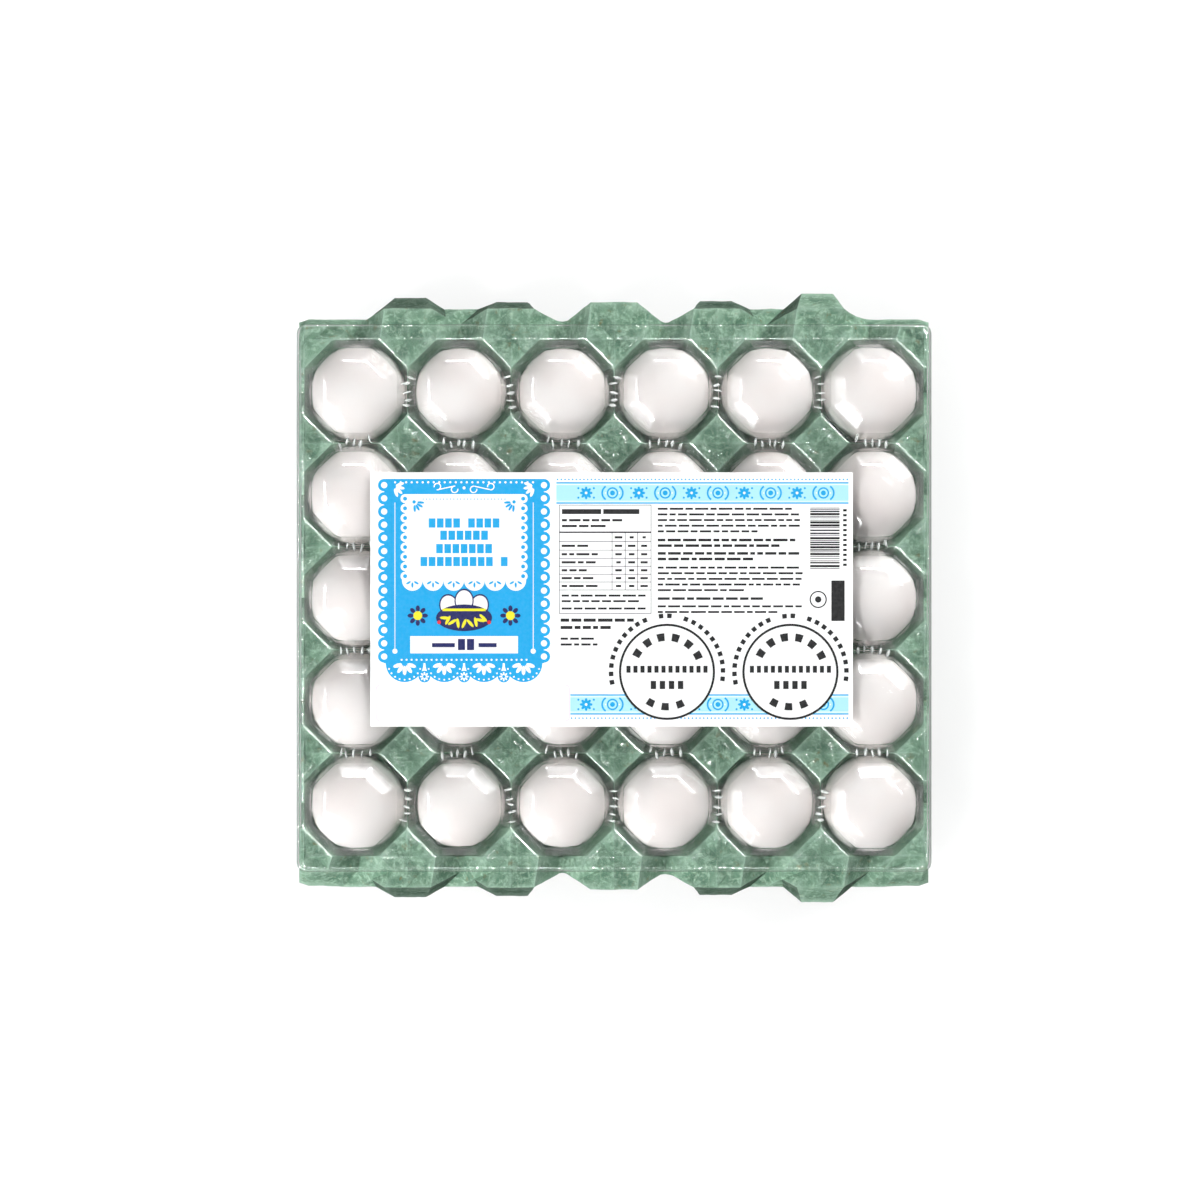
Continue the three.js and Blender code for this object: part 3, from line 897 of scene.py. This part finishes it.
def print_title(blue, v, words):
    """One line of a title, with a block in place of each letter."""
    letters = sum(words)
    total = letters * TITLE_LETTER + (letters - 1) * LETTER_GAP + (len(words) - 1) * TITLE_LETTER
    u = PANEL_U - total / 2
    for count in words:
        for _ in range(count):
            blue.block(u + TITLE_LETTER / 2, v, TITLE_LETTER, TITLE_HEIGHT, 2)
            u += TITLE_LETTER + LETTER_GAP
        u += TITLE_LETTER


def print_motif(white, navy, yellow, red):
    """A bowl of eggs between two flowers, over a white banner with plain bars."""
    white.block(PANEL_U, 80, 50, 8, 1)
    for index, (u, v, turn) in enumerate(((-7, 62, 14), (7, 62, -14), (0, 59.6, 0))):
        lean = math.radians(90 + turn)
        navy.disc(PANEL_U + u, v, 4.5, 2 + 0.5 * index, sides=24, stretch=1.25, turn=lean)
        white.disc(PANEL_U + u, v, 3.9, 2.3 + 0.5 * index, sides=24, stretch=1.25, turn=lean)
    navy.disc(PANEL_U, 67.5, 6.2, 4, sides=32, stretch=2.1)
    for i, turn in enumerate(turns(200, 340, 9)):
        lean = turn + math.radians(24 if i % 2 else -24)
        u = PANEL_U + 9.5 * math.cos(turn)
        level = 5 + 0.2 * (i % 2)
        yellow.disc(u, 66.2 - 4 * math.sin(turn), 0.75, level, sides=8, stretch=3.2, turn=lean)
    yellow.block(PANEL_U, 63.8, 20, 1.2, 5.4)
    for side in (-1, 1):
        flower = PANEL_U + side * 21.5
        navy.petals(flower, 66.5, 1.8, 3.0, 2.0, ROUND, 2)
        yellow.disc(flower, 66.5, 2.1, 3)
        red.disc(PANEL_U + side * 11.6, 69.6, 0.9, 6, sides=12)
    navy.block(PANEL_U - 9.6, 80.2, 10.6, 1.9, 2)
    for side in (-1, 1):
        navy.block(PANEL_U + 0.9 + side * 2.1, 79.9, 3.3, 5.2, 2)
    navy.block(PANEL_U + 10.9, 80.2, 8.4, 1.9, 2)


# The two ornament bands on the right, each its start, top, bottom and the line of its dots
BANDS = ((86.3, 4.8, 14.3, 3.3), (92.8, 103.3, 112.2, 114.1))
BAND_END = 222
ROSETTE_U = 112.4
ROSETTE_PITCH = 24.48
ROSETTE_REACH = 3.6


def print_bands(blue, pale, white):
    """Bands of rosettes and flowers between two lines, with a row of dots outside."""
    for start, top, bottom, dots in BANDS:
        middle = (start + BAND_END) / 2
        width = BAND_END - start
        centre = (top + bottom) / 2
        pale.block(middle, centre, width, bottom - top)
        for line in (top, bottom):
            blue.block(middle, line, width, 0.55, 1)
        white.block(middle, top + 0.9, width, 0.35, 1)
        white.block(middle, bottom - 0.9, width, 0.35, 1)
        blue.row(start + 0.6, dots, width - 1.2, 0.42, 1.75)
        for step in range(-3, 11):
            u = ROSETTE_U + step * ROSETTE_PITCH / 2
            if start + ROSETTE_REACH < u < BAND_END - ROSETTE_REACH:
                if step % 2:
                    print_flower(blue, white, u, centre)
                else:
                    print_rosette(blue, white, u, centre)


def print_flower(blue, white, u, v):
    """A flower of eight petals between four dots."""
    blue.petals(u, v, 0.5, 2.5, 1.4, ROUND, 1)
    white.disc(u, v, 0.6, 2, sides=8)
    for side in (-1, 1):
        for up in (-1, 1):
            blue.disc(u + side * 3.6, v + up * 2.2, 0.5, 1, sides=8)


def print_rosette(blue, white, u, v):
    """A ring round a dot between two curved brackets."""
    blue.arc(u, v, 2.3, 0.7, 1)
    blue.disc(u, v, 1.2, 1, sides=8)
    for side in (-1, 1):
        middle = 0 if side > 0 else math.pi
        blue.arc(u + side * 1.2, v, 3.6, 0.8, 1, start=middle - 1, sweep=2)
        white.disc(u + side * 3.2, v, 0.35, 2, sides=8)


# The table and the small print on the right
TABLE_U = 87.7
TABLE_V = 15.2
TABLE_WIDTH = 42.6
TABLE_HEIGHT = 50.3
TABLE_LINE = 0.28
TABLE_HEAD = 27.8
TABLE_ROWS = (32.1, 36.1, 39.9, 43.6, 47.3, 50.9, 54.6)
TABLE_COLUMNS = (112.2, 118.3, 124.1)
TEXT_U = 133.4
TEXT_WIDTH = 67.5
TEXT_SPACING = 2.62

# Each block's first line, its number of lines and the height of its print
TEXT_BLOCKS = (
    (16.9, 5, 0.95),
    (31.4, 2, 1.25),
    (37.6, 2, 1.25),
    (44.2, 5, 0.95),
    (58.6, 1, 1.2),
    (62.2, 2, 0.95),
)
BARCODE_U = 211
BARCODE_TOP = 16.4
BARCODE_END = 44.4
BARCODE_WIDTH = 13.7


def print_table(black, rng):
    """A ruled table, with bars for its words and numbers."""
    black.frame(TABLE_U, TABLE_V, TABLE_WIDTH, TABLE_HEIGHT, TABLE_LINE)
    middle = TABLE_U + TABLE_WIDTH / 2
    black.words(TABLE_U + 1.2, 18.2, 40, 2.3, rng, lengths=(15, 21))
    black.words(TABLE_U + 1.2, 22.2, 28, 1.1, rng)
    black.words(TABLE_U + 1.2, 24.9, 22, 1.1, rng)
    black.block(middle, TABLE_HEAD, TABLE_WIDTH, 0.7)
    tops = (28.2, *TABLE_ROWS[:-1])
    for line in TABLE_ROWS:
        black.block(middle, line, TABLE_WIDTH, TABLE_LINE)
    for column in TABLE_COLUMNS:
        height = TABLE_ROWS[-1] - TABLE_HEAD
        black.block(column, (TABLE_HEAD + TABLE_ROWS[-1]) / 2, TABLE_LINE, height)
    for index, (top, bottom) in enumerate(zip(tops, TABLE_ROWS)):
        v = (top + bottom) / 2
        if index:
            black.words(TABLE_U + 1.1, v, rng.uniform(12, 21), 1.05, rng)
        for column in TABLE_COLUMNS:
            black.block(column + 3, v, rng.uniform(1.4, 3.6), 1.05)
    for v in (57.2, 59.8, 63.2):
        black.words(TABLE_U + 1.1, v, 39, 0.95, rng)
    for v, width, height in ((68.6, 34, 1.5), (72, 26, 1.5), (77.2, 17, 1.0), (79.9, 19, 1.0)):
        black.words(TABLE_U + 0.6, v, width, height, rng)


def print_small(black, rng):
    """Blocks of small print, a bar code of plain bars, a dark tab and a ring."""
    for first, lines, height in TEXT_BLOCKS:
        for line in range(lines):
            short = rng.uniform(8, 30) if line == lines - 1 else rng.uniform(0, 3)
            black.words(TEXT_U, first + line * TEXT_SPACING, TEXT_WIDTH - short, height, rng)
    v = BARCODE_TOP
    while v < BARCODE_END:
        bar = rng.choice((0.35, 0.35, 0.7, 1.05))
        black.block(BARCODE_U, v + bar / 2, BARCODE_WIDTH, bar)
        v += bar + rng.choice((0.35, 0.35, 0.7))
    for i in range(12):
        black.block(220.3, 17.6 + i * 2.3, 1.7, 1.1)
    black.block(217.1, 59.6, 6.2, 18.8)
    black.arc(207.9, 59, 3.7, 0.6)
    black.disc(207.9, 59, 1.5)


# The two round marks, white with a ring, bars in two arcs, and bars round the outside
MARKS = (137.7, 195.0)
MARK_V = 92.6
MARK_RADIUS = 21.8
MARK_BAR_RADIUS = 16.2
MARK_BAR_SWEEP = math.radians(12)
MARK_OUTER_RADIUS = 26.0
MARK_OUTER_SWEEP = math.radians(4.6)
MARK_OUTER_GAPS = (10, 13)


def print_marks(white, black):
    """Two plain rings with bars inside them and round them."""
    for u in MARKS:
        white.disc(u, MARK_V, MARK_RADIUS, 3, sides=64)
        black.arc(u, MARK_V, MARK_RADIUS, 1.05, 4)
        for first, last, count, width in ((22, 142, 6, 3.6), (236, 286, 3, 3.4)):
            for start in turns(first, last, count):
                black.arc(u, MARK_V, MARK_BAR_RADIUS, width, 4, start=start, sweep=MARK_BAR_SWEEP)
        for i in range(12):
            black.block(u + (i - 5.5) * 3.25, MARK_V - 1.2, 1.9, 3.2, 4)
        for i in range(4):
            black.block(u + (i - 1.5) * 4.2, MARK_V + 6.1, 2.5, 3.8, 4)
        for i in range(24):
            if i not in MARK_OUTER_GAPS:
                start = math.radians(193 - i * 8.6) - MARK_OUTER_SWEEP
                black.arc(u, MARK_V, MARK_OUTER_RADIUS, 2.1, 4, start=start, sweep=MARK_OUTER_SWEEP)


def print_note_box(pink):
    """An empty box with round corners, for a date."""
    left, top, right, bottom, radius = 2.7, 98.7, 92.4, 115.4, 2.0
    for v in (top, bottom):
        pink.block((left + right) / 2, v, right - left - 2 * radius, 0.35)
    for u in (left, right):
        pink.block(u, (top + bottom) / 2, 0.35, bottom - top - 2 * radius)
    for u, v, start in (
        (right - radius, top + radius, 0),
        (left + radius, top + radius, 90),
        (left + radius, bottom - radius, 180),
        (right - radius, bottom - radius, 270),
    ):
        pink.arc(u, v, radius, 0.35, start=math.radians(start), sweep=math.radians(90))


def print_label():
    """Everything printed on the label, ink by ink."""
    rng = random.Random(30)
    inks = [Ink(name, colour) for name, colour in INK_COLOURS.items()]
    blue, pale, white, black, navy, yellow, red, pink = inks
    print_lace(blue, white)
    print_field(blue, white)
    print_motif(white, navy, yellow, red)
    print_bands(blue, pale, white)
    print_table(black, rng)
    print_small(black, rng)
    print_marks(white, black)
    print_note_box(pink)
    for ink in inks:
        ink.finish()


# Stage, light and camera

FLOOR_HALF = 4
FLOOR_Z = -0.2 * MM
SKY_LOW = (0.07, 0.07, 0.07, 1)
SKY_HIGH = (0.4, 0.4, 0.4, 1)
SKY_SEEN = (0.95, 0.95, 0.95, 1)

# Each lamp's name, its place and size in metres and its power in watts. The soft lamps leave no
# patch in glossy things, as ones behind a wide cloth do. The strips show only as lines in glossy
# things, as strip lights far away do.
SOFT_LAMPS = (
    ("low_north_east", (1.05, 1.05, 0.47), (0.6, 0.4), 13),
    ("low_south_west", (-1.05, -1.05, 0.47), (0.6, 0.4), 13),
    ("overhead_north_east", (0.95, 0.9, 1.6), (0.6, 0.6), 14),
    ("overhead_south_west", (-0.95, -0.8, 1.6), (0.6, 0.6), 19),
)
STRIP_LAMPS = (
    ("strip_north_east", (0.78, 0.8, 1.0), (1.0, 0.07), 90),
    ("strip_south_west", (-0.8, -0.78, 1.0), (1.0, 0.07), 125),
    ("strip_north", (0, 1.2, 0.9), (1.0, 0.05), 80),
    ("strip_west", (-1.2, 0, 0.9), (1.0, 0.05), 60),
)


def make_floor():
    """The table under the part, a little below the feet."""
    bm = bmesh.new()
    bmesh.ops.create_grid(bm, x_segments=8, y_segments=8, size=FLOOR_HALF)
    bmesh.ops.translate(bm, verts=bm.verts, vec=(0, 0, FLOOR_Z))
    mesh = bpy.data.meshes.new("floor")
    bm.to_mesh(mesh)
    bm.free()
    floor = bpy.data.objects.new("floor", mesh)
    mesh.materials.append(floor_material())
    bpy.context.scene.collection.objects.link(floor)


def add_lamp(name, place, size, power):
    """A lamp with a rectangular face that looks at the part."""
    data = bpy.data.lights.new(name, "AREA")
    data.shape = "RECTANGLE"
    data.size, data.size_y = size
    data.energy = power
    light = bpy.data.objects.new(name, data)
    light.location = place
    light.rotation_euler = (-Vector(place)).to_track_quat("-Z", "Y").to_euler()
    bpy.context.scene.collection.objects.link(light)
    return light


def add_world():
    """A pale room that is darker towards the horizon, and plain to the camera."""
    world = bpy.data.worlds.new("studio")
    bpy.context.scene.world = world
    world.use_nodes = True
    tree = world.node_tree
    background = tree.nodes["Background"]
    direction = add_node(tree, "ShaderNodeTexCoord").outputs["Generated"]
    parts = add_node(tree, "ShaderNodeSeparateXYZ")
    tree.links.new(direction, parts.inputs["Vector"])
    upward = remap(tree, parts.outputs["Z"], 0.0, 0.9)
    sky = mix_colours(tree, upward, SKY_LOW, SKY_HIGH)
    path = add_node(tree, "ShaderNodeLightPath")
    seen = mix_colours(tree, path.outputs["Is Camera Ray"], sky, SKY_SEEN)
    tree.links.new(seen, background.inputs["Color"])
    background.inputs["Strength"].default_value = 1.0


def set_stage():
    """The floor, the room, the lamps and the camera."""
    make_floor()
    add_world()
    for lamp in SOFT_LAMPS:
        add_lamp(*lamp).visible_glossy = False
    for lamp in STRIP_LAMPS:
        add_lamp(*lamp).visible_diffuse = False
    bpy.context.scene.view_settings.view_transform = "Standard"
    data = bpy.data.cameras.new("camera")
    data.lens = CAMERA_LENS
    data.sensor_width = CAMERA_SENSOR
    camera = bpy.data.objects.new("camera", data)
    camera.location = (CAMERA_X, CAMERA_Y, CAMERA_HEIGHT)
    bpy.context.scene.collection.objects.link(camera)
    bpy.context.scene.camera = camera


def make_pack():
    """The tray, the eggs, the cover and the label."""
    fibres = fibre_group()
    pulp = pulp_material(fibres, "pulp_green", shade=1, relief=1)
    # The post ends: the same pulp darkened as painted shade, and rougher.
    pulp_ends_painted_shade = pulp_material(fibres, "pulp_green_ends_painted_shade", PULP_END_PAINTED_SHADE, PULP_END_RELIEF)
    make_tray(pulp, pulp_ends_painted_shade)
    shell = shell_material()
    for row in range(1, ROWS + 1):
        for column in range(1, COLUMNS + 1):
            make_egg(f"egg_r{row}_c{column}", shell)
    make_cover(film_material())
    make_pleats(crease_painted_highlight_material(), random.Random(7))
    print_label()
    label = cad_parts["label"]
    label.data.materials.clear()
    label.data.materials.append(paper_material(fibres))


set_stage()
make_pack()
